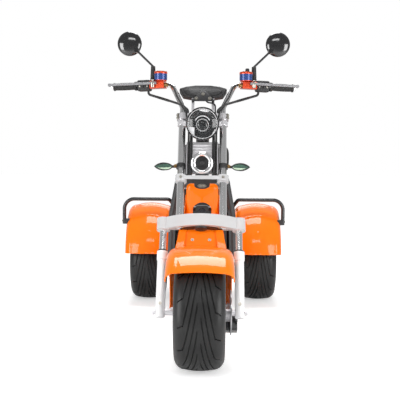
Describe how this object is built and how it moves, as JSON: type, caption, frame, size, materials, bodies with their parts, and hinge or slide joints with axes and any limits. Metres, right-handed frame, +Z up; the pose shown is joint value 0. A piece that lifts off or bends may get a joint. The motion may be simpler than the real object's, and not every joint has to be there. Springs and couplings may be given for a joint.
{
  "type": "three-wheeled electric motorcycle",
  "caption": "Chopper-style electric trike with a raked steered front fork, fat tyres, orange fenders, stepped seat with backrest and mirrors on a high handlebar.",
  "frame": {"origin": "centre of the bounding box on the ground", "axes": "+Z up, the vehicle faces -Y, +X is the rider's left"},
  "size_m": [0.935, 1.9294, 1.4328],
  "materials": {
    "orange": "gloss",
    "chrome": "polished",
    "silver": "satin",
    "alloy": "satin",
    "black_steel": "satin",
    "black_plastic": "matt",
    "black_gloss": "gloss",
    "rubber": "matt",
    "tyre": "matt",
    "leather": "grained",
    "disc_steel": "brushed",
    "lamp_glass": "clear",
    "mirror": "polished",
    "red_alloy": "anodised",
    "blue_cup": "gloss",
    "blinker_lens": "clear",
    "amber": "clear",
    "red_lens": "clear"
  },
  "bodies": {
    "chassis": {"head_tube": "black_steel", "frame_left": "black_steel", "frame_right": "black_steel", "frame_cross": "black_steel", "nose_cover": "orange", "lock_box": "black_plastic", "footboard": "rubber", "battery_box": "black_plastic", "side_panels": "orange", "seat": "leather", "backrest": "leather", "sissy_bar": "chrome", "rear_axle": "black_steel", "motor": "alloy", "shocks": "black_steel", "rear_fender_left": "orange", "rear_fender_right": "orange", "grab_rails": "black_steel", "tail_lamp": "red_lens", "rear_blinkers": "amber", "plate_holder": "black_plastic"},
    "steering": {"fork_tubes": "chrome", "fork_legs": "silver", "wide_yoke": "silver", "lower_clamp": "silver", "top_clamp": "alloy", "front_axle": "alloy", "brake_caliper": "black_steel", "front_fender": "orange", "fender_shield": "orange", "headlight_shell": "black_gloss", "headlight_lens": "lamp_glass", "lamp_bracket": "alloy", "horn": "black_plastic", "front_blinkers": "black_plastic", "front_blinker_lenses": "blinker_lens", "handlebar": "chrome", "grips": "rubber", "switch_pods": "black_plastic", "master_cylinders": "red_alloy", "reservoirs": "blue_cup", "brake_levers": "alloy", "mirror_stems": "black_steel", "mirror_shells": "black_gloss", "mirror_glass": "mirror", "dash": "black_plastic", "brake_hoses": "rubber", "wiring_looms": "black_plastic"},
    "front_wheel": {"front_tyre": "tyre", "front_rim": "alloy", "front_disc": "disc_steel"},
    "rear_wheel_left": {"rear_tyre_left": "tyre", "rear_rim_left": "alloy"},
    "rear_wheel_right": {"rear_tyre_right": "tyre", "rear_rim_right": "alloy"}
  },
  "joints": [
    {"name": "steering", "type": "hinge", "parent": "chassis", "child": "steering", "pos_m": [0, -0.69552, 0.20837], "axis": [0, 0.4695, 0.8829], "range_deg": [-35, 35]},
    {"name": "front_wheel_spin", "type": "hinge", "parent": "steering", "child": "front_wheel", "pos_m": [0, -0.73525, 0.2295], "axis": [1, 0, 0], "continuous": true},
    {"name": "rear_wheel_left_spin", "type": "hinge", "parent": "chassis", "child": "rear_wheel_left", "pos_m": [0.324, 0.66475, 0.2295], "axis": [1, 0, 0], "continuous": true},
    {"name": "rear_wheel_right_spin", "type": "hinge", "parent": "chassis", "child": "rear_wheel_right", "pos_m": [-0.324, 0.66475, 0.2295], "axis": [1, 0, 0], "continuous": true}
  ]
}
